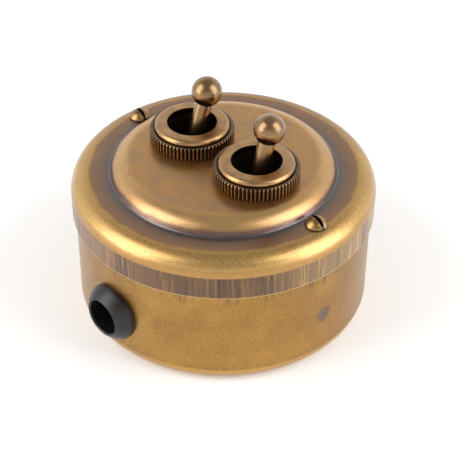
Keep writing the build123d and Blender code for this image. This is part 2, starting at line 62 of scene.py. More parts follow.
rivet_place = (18.0 * mm, -20.0 * mm)
rivet_hole_radius = 1.52 * mm
cable_height = 12.9 * mm
cable_hole_radius = 6.05 * mm
weld_height = 14.2 * mm
weld_aside = 1.76 * mm
weld_dent_depth = 0.3 * mm
weld_dent_width = 0.75 * mm
spinning_wave = 0.03 * mm
foot_line_height = 4.4 * mm
skirt_shadow_foot = 23.0 * mm
skirt_shadow_head = 26.6 * mm


def outline(corners):
    """Points of a profile of straight runs with rounded corners, as complex numbers: across + i * along.

    Each corner is (across, along, rounding, step). An arc of the rounding's radius, whose centre lies at
    that distance from both runs, replaces the corner, and the run after it is cut into steps of that length.
    """
    spots = [complex(*corner[:2]) for corner in corners]
    path = []
    reached = spots[0]
    for at in range(1, len(spots)):
        rounding = corners[at][2]
        bend = np.array([spots[at]])
        if rounding:
            into = (spots[at] - spots[at - 1]) / abs(spots[at] - spots[at - 1])
            out = (spots[at + 1] - spots[at]) / abs(spots[at + 1] - spots[at])
            turn = np.angle(out / into)
            start = spots[at] - into * rounding * tan(abs(turn) / 2)
            centre = start + into * 1j * np.sign(turn) * rounding
            angles = np.linspace(0, turn, 2 + ceil(abs(turn) / radians(6)))
            bend = centre + (start - centre) * np.exp(1j * angles)
        cuts = max(1, ceil(abs(bend[0] - reached) / corners[at - 1][3]))
        path += [np.linspace(reached, bend[0], cuts, endpoint=False), bend[:-1]]
        reached = bend[-1]
    return np.concatenate(path + [[reached]])


def lathe(path, columns):
    """Grid of a turned surface: the point at angle a is (across * cos a, across * sin a, along)."""
    angle = np.linspace(0, 2 * pi, columns, endpoint=False)
    across, along = path.real[:, None], path.imag[:, None]
    return np.stack([across * np.cos(angle), across * np.sin(angle), along + 0 * angle], axis=-1)


def skin(name, grid, sharp=40.0, attributes=None):
    """Piece made of a grid of points, rows by columns, whose columns close round it.

    Rows that meet, and rows that shrink to a pole, are merged, so the skin is closed. Values given for
    each point of the grid become attributes that a finish can read.
    """
    rows, columns = grid.shape[:2]
    index = np.arange(rows * columns).reshape(rows, columns)
    beside = np.roll(index, -1, axis=1)
    quads = np.stack([index[:-1], beside[:-1], beside[1:], index[1:]], axis=-1).reshape(-1, 4)
    mesh = bpy.data.meshes.new(name)
    mesh.from_pydata(grid.reshape(-1, 3).tolist(), [], quads.tolist())
    for key, values in (attributes or {}).items():
        layer = mesh.attributes.new(key, "FLOAT", "POINT")
        layer.data.foreach_set("value", np.broadcast_to(values, (rows, columns)).astype(np.float32).ravel())
    whole = bmesh.new()
    whole.from_mesh(mesh)
    bmesh.ops.remove_doubles(whole, verts=whole.verts, dist=0.0005 * mm)
    bmesh.ops.recalc_face_normals(whole, faces=whole.faces)
    whole.to_mesh(mesh)
    whole.free()
    mesh.shade_smooth()
    mesh.set_sharp_from_angle(angle=radians(sharp))
    piece = bpy.data.objects.new(name, mesh)
    bpy.context.scene.collection.objects.link(piece)
    return piece


def rod(start, end, radius, sides=96):
    """Grid of a straight round bar between two points, as a profile carried along its axis."""
    axis = np.array(end, float) - np.array(start, float)
    axis /= np.linalg.norm(axis)
    side = np.cross(axis, (0, 0, 1) if abs(axis[2]) < 0.9 else (1, 0, 0))
    side /= np.linalg.norm(side)
    angle = np.linspace(0, 2 * pi, sides, endpoint=False)[:, None]
    circle = radius * (np.cos(angle) * side + np.sin(angle) * np.cross(axis, side))
    return np.stack([np.array(start) + 0 * circle, start + circle, end + circle, np.array(end) + 0 * circle])


def pierce(piece, *bars):
    """Cuts bars out of a piece, for its holes and slots."""
    tool = skin("tool", bars[0])
    shapes = bmesh.new()
    shapes.from_mesh(tool.data)
    for bar in bars[1:]:
        other = skin("tool", bar)
        shapes.from_mesh(other.data)
        bpy.data.objects.remove(other)
    shapes.to_mesh(tool.data)
    shapes.free()
    cut = piece.modifiers.new("holes", "BOOLEAN")
    cut.object = tool
    cut.solver = "EXACT"
    bpy.context.view_layer.update()
    pierced = piece.evaluated_get(bpy.context.evaluated_depsgraph_get())
    mesh = bpy.data.meshes.new_from_object(pierced)
    piece.modifiers.clear()
    piece.data = mesh
    bpy.data.objects.remove(tool)
    mesh.set_sharp_from_angle(angle=radians(40))


class Shade:
    """A socket of a finish's nodes, used in plain arithmetic: each operator adds one Math node."""

    def __init__(self, tree, socket=None):
        self.tree = tree
        self.socket = socket

    def node(self, kind, settings=None, sockets=None, output=0):
        """Any other node, from its type, its settings, and the values or links of its sockets."""
        made = self.tree.nodes.new(kind)
        for name, value in (settings or {}).items():
            if name == "stops":
                while len(made.color_ramp.elements) < len(value):
                    made.color_ramp.elements.new(1.0)
                for stop, (place, colour) in zip(made.color_ramp.elements, value):
                    stop.position = place
                    stop.color = colour
            else:
                setattr(made, name, value)
        for name, value in (sockets or {}).items():
            if isinstance(value, Shade):
                self.tree.links.new(value.socket, made.inputs[name])
            else:
                made.inputs[name].default_value = value
        return None if output is None else Shade(self.tree, made.outputs[output])

    def maths(self, operation, *values):
        return self.node("ShaderNodeMath", {"operation": operation}, dict(enumerate(values)))

    def __add__(self, other):
        return self.maths("ADD", self, other)

    def __sub__(self, other):
        return self.maths("SUBTRACT", self, other)

    def __rsub__(self, other):
        return self.maths("SUBTRACT", other, self)

    def __mul__(self, other):
        return self.maths("MULTIPLY", self, other)

    def __truediv__(self, other):
        return self.maths("DIVIDE", self, other)

    def __pow__(self, other):
        return self.maths("POWER", self, other)

    __radd__ = __add__
    __rmul__ = __mul__

    def ease(self, low, high):
        """0 below low, 1 above high, and a smooth step between."""
        sockets = {"Value": self, "From Min": low, "From Max": high}
        return self.node("ShaderNodeMapRange", {"interpolation_type": "SMOOTHSTEP"}, sockets)

    def near(self, middle, width):
        """1 at the middle value, falling to 0 a width away on both sides."""
        return 1 - self.maths("ABSOLUTE", self - middle).ease(0.0, width)

    def noise(self, place, size, detail=2.0, roughness=0.5):
        """Cloudy values about 0.5, whose patches are about one size across."""
        sockets = {"Vector": place, "Scale": 1 / size, "Detail": detail, "Roughness": roughness}
        return self.node("ShaderNodeTexNoise", {"normalize": True}, sockets)

    def blend(self, first, second):
        """The first colour where this value is 0, and the second where it is 1."""
        return self.node("ShaderNodeMix", {"data_type": "RGBA"}, {0: self, 6: first, 7: second}, 2)


def ink(red, green, blue):
    """Linear colour of screen values from 0 to 255."""
    parts = [value / 255 for value in (red, green, blue)]
    return tuple(p / 12.92 if p <= 0.04045 else ((p + 0.055) / 1.055) ** 2.4 for p in parts) + (1.0,)


def new_finish(name):
    """An empty material, its nodes as a Shade, and the point on the piece in its own coordinates."""
    material = bpy.data.materials.new(name)
    material.use_nodes = True
    material.node_tree.nodes.clear()
    nodes = Shade(material.node_tree)
    return material, nodes, nodes.node("ShaderNodeTexCoord", output=3)


def finish_surface(nodes, settings, height=None, depth=0.0):
    """Ends a finish in one surface shader, with a height in metres that dents it."""
    if height is not None:
        dents = {"Height": height, "Distance": depth, "Strength": 1.0}
        settings["Normal"] = nodes.node("ShaderNodeBump", {}, dents)
    surface = nodes.node("ShaderNodeBsdfPrincipled", {}, settings)
    nodes.node("ShaderNodeOutputMaterial", {}, {"Surface": surface}, None)


def xyz(nodes, place):
    """The three parts of a vector."""
    return [nodes.node("ShaderNodeSeparateXYZ", {}, {"Vector": place}, part) for part in range(3)]


def brass_surface(nodes, colour, roughness, height, depth, film=0.3):
    """Ends the finish of old brass: bare metal under the thin clear film that its polish has left."""
    settings = {"Base Color": colour, "Metallic": 1.0, "Roughness": roughness}
    settings |= {"Coat Weight": film, "Coat Roughness": 0.25, "Coat IOR": 1.9}
    finish_surface(nodes, settings, height, depth)


def dress(piece, finish):
    """Gives a piece, or a solid whose shape is already right, its one finish."""
    piece.data.materials.clear()
    piece.data.materials.append(finish)


cup_path = outline([
    (0, 0, 0, 3.0 * mm),
    (cup_radius, 0, cup_corner, 0.5 * mm),
    (cup_radius, cup_height, 0.25 * mm, 0.5 * mm),
    (cup_radius - cup_sheet, cup_height, 0.25 * mm, 1.5 * mm),
    (cup_radius - cup_sheet, cup_sheet, cup_corner - cup_sheet, 3.0 * mm),
    (0, cup_sheet, 0, 3.0 * mm),
])
cup_grid = lathe(cup_path, cup_columns)
cup_angle = np.arctan2(cup_grid[..., 1], cup_grid[..., 0])
cup_across = np.hypot(cup_grid[..., 0], cup_grid[..., 1])
cup_up = cup_grid[..., 2]
# The wall moves in or out along its radius: two bell-shaped dents, and slow waves left by the spinning.
outer_wall = np.clip((cup_across - (cup_radius - cup_sheet / 2)) / (0.2 * mm), 0, 1)
wall_shift = np.zeros_like(cup_up)
for side_angle in (-weld_aside / cup_radius, pi - weld_aside / cup_radius):
    around = np.angle(np.exp(1j * (cup_angle - side_angle))) * cup_radius
    from_dent = around**2 + (cup_up - weld_height) ** 2
    wall_shift -= weld_dent_depth * np.exp(-from_dent / (2 * weld_dent_width**2))
low_waves = np.sin(3 * cup_angle + 1.3) + 0.6 * np.sin(7 * cup_angle + 250 * cup_up)
below_skirt = np.clip(cup_up / cup_corner, 0, 1) * (cup_up < 27 * mm)
wall_shift -= spinning_wave * (0.8 + 0.5 * low_waves) * below_skirt
cup_grid[..., :2] *= (1 + outer_wall * wall_shift / np.maximum(cup_across, mm))[..., None]
cup = skin("cup", cup_grid)
pierce(
    cup,
    rod((0, wall_hole_place, -mm), (0, wall_hole_place, 2 * mm), wall_hole_radius),
    rod((0, -wall_hole_place, -mm), (0, -wall_hole_place, 2 * mm), wall_hole_radius),
    rod((*rivet_place, -mm), (*rivet_place, 2 * mm), rivet_hole_radius),
    rod((0, -cup_radius * 0.8, cable_height), (0, -cup_radius * 1.1, cable_height), cable_hole_radius),
)

gold = ink(174, 129, 54)
amber = ink(154, 111, 44)
bright_gold = ink(202, 160, 84)
dark_brown = ink(84, 58, 32)
purple_brown = ink(96, 68, 62)
blue_grey = ink(120, 118, 124)
cup_finish, nodes, place = new_finish("cup_brass")
x, y, z = xyz(nodes, place)
clouds = nodes.noise(place, 13 * mm, 3.0)
grain = nodes.noise(place, 0.22 * mm, 2.0, 0.7)
specks = nodes.noise(place, 0.32 * mm, 2.0, 0.6)
patches = nodes.noise(place, 1.6 * mm, 3.0, 0.7)
upright = nodes.node("ShaderNodeCombineXYZ", {}, {0: x, 1: y, 2: z * 0.1})
shadow_streaks = nodes.noise(upright, 1.5 * mm, 3.0, 0.6)
colour = clouds.ease(0.35, 0.65).blend(amber, gold)
colour = (specks.ease(0.52, 0.7) * 0.5).blend(colour, dark_brown)
colour = ((1 - specks).ease(0.52, 0.7) * 0.4).blend(colour, bright_gold)
# The foot is painted brighter, a painted reflection of the table on its rounding, and above it runs a broken
# line of painted shade where the rounding starts. More painted shadow, in upright streaks, hangs under the
# cover's skirt.
colour = ((1 - z.ease(3.2 * mm, foot_line_height)) * 0.7).blend(colour, bright_gold)
colour = (z.near(foot_line_height, 0.7 * mm) * patches.ease(0.4, 0.65) * 0.4).blend(colour, purple_brown)
# Painted shadow of the cover's skirt on the wall, broken into upright streaks.
skirt_shadow_streaks = z.ease(skirt_shadow_foot, skirt_shadow_head) * shadow_streaks.ease(0.54, 0.66)
colour = (skirt_shadow_streaks * 0.7).blend(colour, purple_brown)
# Each weld left a blue-grey dimple in a brown halo.
weld_rise = z - weld_height
weld_side = y + x.maths("SIGN", x) * weld_aside
from_weld = (weld_side * weld_side + weld_rise * weld_rise) ** 0.5
colour = ((1 - (from_weld + patches * mm).ease(1.4 * mm, 3.6 * mm)) * 0.7).blend(colour, purple_brown)
colour = (from_weld.near(0.9 * mm, 0.8 * mm) * 0.5).blend(colour, blue_grey)
colour = ((1 - from_weld.ease(0.1 * mm, 0.6 * mm)) * 0.6).blend(colour, ink(60, 50, 48))
brass_surface(nodes, colour, 0.28 + 0.14 * grain, grain + specks, 0.01 * mm)
dress(cup, cup_finish)
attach(cup, "root")
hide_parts("back_box")

# Cover: the stepped lid, spun from thinner brass sheet, that laps over the cup and is held by two screws.
# From its centre out it has a flat for the switches, a domed edge, a valley and a flat ring, both dark with
# tarnish, a rounded shoulder, and a short skirt that was only cleaned in upright strokes.
cover_low, cover_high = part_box("cover")
cover_radius = cover_high.x
dome_top = cover_high.z
skirt_edge = cover_low.z
cover_sheet = 0.7 * mm
cover_flat = 37.8 * mm
shoulder_radius = 4.6 * mm
dome_foot_radius = 28.8 * mm
dome_foot_fillet = 0.9 * mm
dome_edge_radius = 5.0 * mm
dome_side_angle = radians(60)
cover_columns = 540
ring_place = 11.465 * mm
bush_hole_radius = 8.2 * mm
screw_place = 31.65 * mm
screw_hole_radius = 2.0 * mm
foot_corner = dome_foot_radius - dome_foot_fillet * tan(dome_side_angle / 2)
top_corner = foot_corner - (dome_top - cover_flat) / tan(dome_side_angle)
inward = cover_sheet * tan(dome_side_angle / 2)
outer_path = outline([
    (0, dome_top, 0, 0.9 * mm),
    (top_corner, dome_top, dome_edge_radius, 0.3 * mm),
    (foot_corner, cover_flat, dome_foot_fillet, 0.5 * mm),
    (cover_radius, cover_flat, shoulder_radius, 0.5 * mm),
    (cover_radius, skirt_edge, 0.12 * mm, 1.0 * mm),
    (cover_radius - cover_sheet / 2, skirt_edge, 0, 1.0 * mm),
])
inner_path = outline([
    (cover_radius - cover_sheet / 2, skirt_edge, 0, 1.0 * mm),
    (cover_radius - cover_sheet, skirt_edge, 0.12 * mm, 2.0 * mm),
    (cover_radius - cover_sheet, cover_flat - cover_sheet, shoulder_radius - cover_sheet, 1.5 * mm),
    (foot_corner - inward, cover_flat - cover_sheet, dome_foot_fillet + cover_sheet, 1.0 * mm),
    (top_corner - inward, dome_top - cover_sheet, dome_edge_radius - cover_sheet, 3.0 * mm),
    (0, dome_top - cover_sheet, 0, 3.0 * mm),
])
cover_path = np.concatenate([outer_path, inner_path[1:]])
cover_grid = lathe(cover_path, cover_columns)
cover = skin("cover_shell", cover_grid)
pierce(
    cover,
    rod((ring_place, 0, dome_top - 2 * mm), (ring_place, 0, dome_top + mm), bush_hole_radius),
    rod((-ring_place, 0, dome_top - 2 * mm), (-ring_place, 0, dome_top + mm), bush_hole_radius),
    rod((screw_place, 0, cover_flat - 2 * mm), (screw_place, 0, cover_flat + mm), screw_hole_radius),
    rod((-screw_place, 0, cover_flat - 2 * mm), (-screw_place, 0, cover_flat + mm), screw_hole_radius),
)

cover_finish, nodes, place = new_finish("cover_brass")
x, y, z = xyz(nodes, place)
across = (x * x + y * y) ** 0.5
# How far out and down a point lies from the middle of the dome, in millimetres, tells its zone.
reach = (across - z + dome_top) / mm
clouds = nodes.noise(place, 6 * mm, 3.0)
grain = nodes.noise(place, 0.2 * mm, 2.0, 0.7)
specks = nodes.noise(place, 0.32 * mm, 2.0, 0.6)
zone_stops = [
    (0.0, ink(184, 132, 62)),
    (22.8, ink(184, 132, 62)),
    (24.6, ink(208, 162, 98)),
    (29.0, ink(192, 148, 92)),
    (29.9, ink(114, 80, 62)),
    (31.0, ink(84, 60, 54)),
    (31.5, ink(88, 82, 84)),
    (32.5, ink(92, 84, 82)),
    (33.2, ink(116, 85, 62)),
    (36.4, ink(140, 101, 62)),
    (36.7, ink(178, 130, 46)),
    (37.3, ink(196, 152, 78)),
    (42.8, ink(206, 164, 92)),
    (43.6, ink(184, 138, 70)),
    (45.5, ink(178, 132, 66)),
]
farthest_reach = 52.0
front_azimuth = radians(46)
skirt_radius = 38.0
bar_stretch = 30
wander = reach + (clouds - 0.5) * 1.6
zones = [(stop / farthest_reach, colour) for stop, colour in zone_stops]
colour = nodes.node("ShaderNodeValToRGB", {"stops": zones}, {"Fac": wander / farthest_reach})
# The flat of the dome is streaked with pinkish tan, along X.
streaked = nodes.node("ShaderNodeCombineXYZ", {}, {0: x * 0.3, 1: y, 2: z})
streaks = nodes.noise(streaked, 1.4 * mm, 4.0, 0.65) * 0.6 + clouds * 0.4
on_flat = 1 - reach.ease(22.0, 24.5)
colour = (streaks.ease(0.44, 0.56) * on_flat * 0.85).blend(colour, ink(168, 128, 84))
on_shoulder = reach.ease(36.8, 37.6) * (1 - reach.ease(42.8, 43.8))
colour = (clouds.ease(0.45, 0.75) * 0.25).blend(colour, ink(150, 108, 62))
# Painted shade: the shoulder is painted browner on its side away from the camera.
frontward = (x * sin(front_azimuth) - y * cos(front_azimuth)) / across
shaded_far_side = (0 - frontward).ease(0.0, 0.8)
colour = (on_shoulder * shaded_far_side * 0.7).blend(colour, ink(136, 100, 64))
colour = (specks.ease(0.53, 0.68) * (0.3 + 0.3 * on_shoulder)).blend(colour, ink(78, 54, 34))
colour = ((1 - specks).ease(0.58, 0.72) * 0.3).blend(colour, ink(222, 182, 110))
# The skirt's upright bars, under painted light and shade that follows the camera's sides: the skirt is
# painted dark in front, paler on one side, and golden between the bars on the other. Their sizes are in
# millimetres round the skirt, because the pattern is drawn out along its height.
skirt_place = {0: x / across * skirt_radius, 1: y / across * skirt_radius, 2: z * bar_stretch}
around = nodes.node("ShaderNodeCombineXYZ", {}, skirt_place)
thick_bars = nodes.noise(around, 1.1, 2.0, 0.6)
thin_bars = nodes.noise(around, 0.3, 2.0, 0.6)
broad = nodes.noise(around, 5.0, 2.0)
sideways = (x * cos(front_azimuth) + y * sin(front_azimuth)) / across
painted_golden_side = sideways.ease(0.1, 0.95)
painted_pale_side = (0 - sideways).ease(0.2, 0.95)
ground = painted_pale_side.blend(painted_golden_side.blend(ink(108, 76, 48), ink(172, 138, 88)), ink(150, 112, 78))
dark_bar = painted_pale_side.blend(painted_golden_side.blend(ink(66, 43, 32), ink(120, 92, 64)), ink(104, 74, 54))
gold_gap = painted_pale_side.blend(painted_golden_side.blend(ink(150, 112, 54), ink(214, 184, 118)), ink(182, 142, 92))
banded = (specks.ease(0.4, 0.6) * 0.45).blend(ground, dark_bar)
banded = ((thin_bars * 0.6 + broad * 0.4).ease(0.52, 0.6) * 0.75).blend(banded, dark_bar)
banded = ((thick_bars * 0.6 + broad * 0.4).ease(0.53, 0.6) * 0.6).blend(banded, dark_bar)
gaps = (thin_bars * 0.5 + thick_bars * 0.5 - specks * 0.2).ease(0.3, 0.36)
banded = ((1 - gaps) * 0.75).blend(banded, gold_gap)
on_skirt = reach.ease(45.5, 45.9)
colour = on_skirt.blend(colour, banded)
cut_edge = 1 - z.ease(skirt_edge + 0.15 * mm, skirt_edge + 0.45 * mm)
colour = (cut_edge * 0.7).blend(colour, ink(216, 178, 112))
brass_surface(nodes, colour, 0.27 + 0.14 * grain + 0.06 * on_skirt, grain + specks, 0.018 * mm, 0.45)
dress(cover, cover_finish)
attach(cover, "root")
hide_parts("cover")

# Cover screws: two slotted screws with high round heads, turned from brass and aged with the cover. They go
# down into the straps inside the cup.
screw_head_radius = 2.8 * mm
screw_head_edge = 0.25 * mm
screw_head_crown = 1.75 * mm
screw_shank_radius = 1.75 * mm
screw_length = 8.0 * mm
screw_slot_width = 0.85 * mm
screw_slot_depth = 1.1 * mm
screw_slot_turn = radians(-9.5)


def arc(centre, radius, start, end, cuts):
    """Points of an arc as complex numbers: centre + radius * exp(i * angle), from one angle to the other."""
    return centre + radius * np.exp(1j * np.linspace(start, end, cuts + 1))


def bar(start, end, width, height):
    """Grid of a straight flat bar between two points, standing on edge."""
    along = np.array(end, float) - np.array(start, float)
    side = np.cross((0, 0, 1), along / np.linalg.norm(along)) * width / 2
    rise = np.array((0, 0, height / 2))
    frame_points = np.stack([side + rise, rise - side, -side - rise, side - rise])
    ends = np.array(start, float), np.array(end, float)
    caps = 0 * frame_points
    return np.stack([caps + ends[0], frame_points + ends[0], frame_points + ends[1], caps + ends[1]])


crown_radius = (screw_head_radius**2 + screw_head_crown**2) / (2 * screw_head_crown)
crown_centre = 1j * (screw_head_edge + screw_head_crown - crown_radius)
crown_edge = pi / 2 - np.arcsin((screw_head_radius - 0.08 * mm) / crown_radius)
screw_path = np.concatenate([
    arc(crown_centre, crown_radius, pi / 2, crown_edge, 14),
    outline([
        (screw_head_radius, screw_head_edge, 0, 0.2 * mm),
        (screw_head_radius, 0, 0.1 * mm, 0.3 * mm),
        (screw_shank_radius, 0, 0, 0.5 * mm),
        (screw_shank_radius, -screw_length, 0.3 * mm, 0.5 * mm),
        (0, -screw_length, 0, 1.0 * mm),
    ]),
])
screw_finish, nodes, place = new_finish("screw_brass")
x, y, z = xyz(nodes, place)
grain = nodes.noise(place, 0.25 * mm, 3.0, 0.7)
clouds = nodes.noise(place, 1.5 * mm, 2.0)
# Painted shade: the slot is painted nearly black inside.
from_centre = x - x.maths("SIGN", x) * screw_place
beside_slot = y * cos(screw_slot_turn) - from_centre * sin(screw_slot_turn)
slot_shade = beside_slot.near(0.0, 0.55 * mm).ease(0.08, 0.12)
# Painted shade: the foot of the head, under its dome, is painted dark.
head_foot_shade = 1 - z.ease(cover_flat + 0.15 * mm, cover_flat + 0.45 * mm)
colour = clouds.ease(0.35, 0.7).blend(ink(170, 130, 70), ink(126, 94, 50))
colour = slot_shade.blend(colour, ink(26, 18, 13))
colour = (head_foot_shade * 0.8).blend(colour, ink(60, 42, 30))
brass_surface(nodes, colour, 0.26 + 0.14 * grain, grain, 0.006 * mm)
for side, sign in (("left", -1), ("right", 1)):
    seat = np.array((sign * screw_place, 0, cover_flat))
    screw = skin(f"cover_screw_{side}", lathe(screw_path, 96) + seat)
    slot_way = np.array((cos(screw_slot_turn), sin(screw_slot_turn), 0)) * 2 * screw_head_radius
    slot_seat = seat + np.array((0, 0, screw_head_edge + screw_head_crown))
    pierce(screw, bar(slot_seat - slot_way, slot_seat + slot_way, screw_slot_width, 2 * screw_slot_depth))
    dress(screw, screw_finish)
    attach(screw, "root")
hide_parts("cover_screws")

# Cable grommet: a black rubber bush, pushed into the cup's wall from outside. Its outer face slopes in a
# rounded cone down to the wall, and its groove follows the curve of the wall.
grommet_low, grommet_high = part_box("cable_grommet")
cable_bore_radius = 4.6 * mm
grommet_neck_radius = 6.0 * mm
grommet_flange_radius = 7.4 * mm
grommet_face_radius = 7.0 * mm
grommet_edge_break = 0.35 * mm
grommet_face = -grommet_low.y
grommet_back = -grommet_high.y
grommet_rim = cup_radius + 0.8 * mm
grommet_gap = 0.05 * mm
inner_face = cup_radius - cup_sheet - grommet_gap
outer_face = cup_radius + grommet_gap
face_start = complex(grommet_flange_radius, grommet_rim)
face_end = complex(cable_bore_radius + grommet_edge_break, grommet_face)
half_face = (face_end - face_start) / 2
face_centre = face_start + half_face * (1 + 1j * sqrt((grommet_face_radius / abs(half_face)) ** 2 - 1))
face_turns = np.angle(face_start - face_centre), np.angle(face_end - face_centre)
bore_middle = complex(cable_bore_radius, (grommet_face + grommet_back) / 2)
grommet_path = np.concatenate([
    outline([
        (bore_middle.real, bore_middle.imag, 0, 0.5 * mm),
        (cable_bore_radius, grommet_back, 0.3 * mm, 0.5 * mm),
        (grommet_flange_radius, grommet_back, 0.4 * mm, 0.5 * mm),
        (grommet_flange_radius, inner_face, 0, 0.5 * mm),
        (grommet_neck_radius, inner_face, 0, 0.5 * mm),
        (grommet_neck_radius, outer_face, 0, 0.5 * mm),
        (grommet_flange_radius, outer_face, 0, 0.5 * mm),
        (grommet_flange_radius, grommet_rim - 0.1 * mm, 0, 0.5 * mm),
    ]),
    arc(face_centre, grommet_face_radius, *face_turns, 16),
    [complex(cable_bore_radius, grommet_face - grommet_edge_break), bore_middle],
])
spin = np.linspace(0, 2 * pi, 180, endpoint=False)
grommet_x = grommet_path.real[:, None] * np.cos(spin)
grommet_z = grommet_path.real[:, None] * np.sin(spin) + cable_height
grommet_out = grommet_path.imag[:, None] + 0 * spin
on_wall = (np.abs(grommet_out - inner_face) < 0.01 * mm) | (np.abs(grommet_out - outer_face) < 0.01 * mm)
grommet_out = np.where(on_wall, np.sqrt(grommet_out**2 - grommet_x**2), grommet_out)
grommet = skin("rubber_grommet", np.stack([grommet_x, -grommet_out, grommet_z], axis=-1))
rubber, nodes, place = new_finish("black_rubber")
grain = nodes.noise(place, 0.3 * mm, 3.0, 0.7)
dust = nodes.noise(place, 2.5 * mm, 4.0, 0.6)
colour = dust.ease(0.45, 0.75).blend(ink(20, 18, 17), ink(40, 36, 33))
rubber_settings = {"Base Color": colour, "Metallic": 0.0, "Roughness": 0.28 + 0.15 * grain}
finish_surface(nodes, rubber_settings, grain, 0.01 * mm)
dress(grommet, rubber)
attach(grommet, "root")
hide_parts("cable_grommet")

# Ring nuts: turned bronze-coloured brass, screwed down on the switch bushes. Each has straight flutes for the
# fingers, a groove, and a smooth collar with a rounded edge. The flute roots and the groove are painted dark
# as painted shade, and the flute tips pale as a painted highlight.
ring_low, ring_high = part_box("fluted_ring_left")
ring_seat = ring_low.z
ring_top = ring_high.z
ring_radius = ring_high.y
ring_fluted_height = 3.4 * mm
ring_bevel = 0.24 * mm
ring_groove_width = 0.35 * mm
ring_groove_depth = 0.5 * mm
ring_collar_radius = 9.4 * mm
ring_collar_rounding = 1.1 * mm
ring_throat_radius = 6.2 * mm
ring_bore_radius = 8.05 * mm
ring_lip = 1.4 * mm
flute_count = 66
flute_depth = 0.4 * mm
flute_share = 0.8
columns_per_flute = 12
flute_top = ring_seat + ring_fluted_height
ring_path = outline([
    (ring_bore_radius, ring_seat, 0, 0.6 * mm),
    (ring_radius - ring_bevel, ring_seat, 0, 0.2 * mm),
    (ring_radius, ring_seat + ring_bevel, 0, 0.4 * mm),
    (ring_radius, flute_top - ring_bevel, 0, 0.2 * mm),
    (ring_radius - ring_bevel, flute_top, 0, 0.12 * mm),
    (ring_collar_radius + ring_groove_width, flute_top, 0.05 * mm, 0.2 * mm),
    (ring_collar_radius + ring_groove_width, flute_top - ring_groove_depth, 0, 0.2 * mm),
    (ring_collar_radius, flute_top - ring_groove_depth, 0, 0.3 * mm),
    (ring_collar_radius, ring_top, ring_collar_rounding, 0.5 * mm),
    (ring_throat_radius, ring_top, 0.12 * mm, 0.5 * mm),
    (ring_throat_radius, ring_top - ring_lip, 0.1 * mm, 0.5 * mm),
    (ring_bore_radius, ring_top - ring_lip, 0, 0.8 * mm),
    (ring_bore_radius, ring_seat, 0, 0.6 * mm),
])
ring_angle = np.linspace(0, 2 * pi, flute_count * columns_per_flute, endpoint=False)
from_root = np.abs(2 * ((ring_angle * flute_count / (2 * pi)) % 1) - 1)
flute = np.clip(1 - (1 - from_root) / flute_share, 0, 1)
# No point of the ring lies further out than the flutes allow: the ring's radius less their depth there.
ring_across = np.minimum(ring_path.real[:, None], ring_radius - flute_depth * flute)
ring_up = ring_path.imag[:, None] + 0 * ring_angle
outside = (ring_path.real > ring_radius - 0.3 * mm)[:, None]
in_groove = (np.abs(ring_path.imag - flute_top + ring_groove_depth) < 0.1 * mm)[:, None]
# Painted shade in the flute roots and the groove.
ring_root_shade = np.where(outside, flute, 0) + in_groove
ring_finish, nodes, place = new_finish("ring_bronze")
x, y, z = xyz(nodes, place)
soil = nodes.node("ShaderNodeAttribute", {"attribute_name": "soil"}, {}, 2)
tip = nodes.node("ShaderNodeAttribute", {"attribute_name": "tip"}, {}, 2)
grain = nodes.noise(place, 0.18 * mm, 2.0, 0.7)
clouds = nodes.noise(place, 3 * mm, 3.0)
specks = nodes.noise(place, 0.3 * mm, 2.0, 0.6)
collar = z.ease(flute_top - 0.05 * mm, flute_top + 0.2 * mm)
land = clouds.ease(0.35, 0.7).blend(ink(182, 141, 88), ink(156, 120, 78))
# The roots are painted dark as painted shade, and the tips pale as a painted highlight.
fluted = soil.ease(0.02, 0.7).blend(ink(92, 69, 43), ink(50, 36, 24))
colour = collar.blend(tip.blend(fluted, ink(200, 166, 110)), land)
# Painted shade: the throat, inside the hole, is painted nearly black.
from_axis = x - x.maths("SIGN", x) * ring_place
throat_shade = 1 - ((from_axis * from_axis + y * y) ** 0.5).ease(ring_throat_radius, ring_throat_radius + 0.25 * mm)
colour = (throat_shade * 0.9).blend(colour, ink(30, 22, 16))
colour = (specks.ease(0.56, 0.7) * 0.4).blend(colour, dark_brown)
brass_surface(nodes, colour, 0.24 + 0.12 * grain, grain, 0.004 * mm)
for side, sign in (("left", -1), ("right", 1)):
    ring_x = ring_across * np.cos(ring_angle) + sign * ring_place
    ring_grid = np.stack([ring_x, ring_across * np.sin(ring_angle), ring_up], axis=-1)
    ring_tip_highlight = np.where(outside, from_root < 0.1, 0)
    ring = skin(f"ring_nut_{side}", ring_grid, 40, {"soil": ring_root_shade, "tip": ring_tip_highlight})
    dress(ring, ring_finish)
    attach(ring, "root")
    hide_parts(f"fluted_ring_{side}")

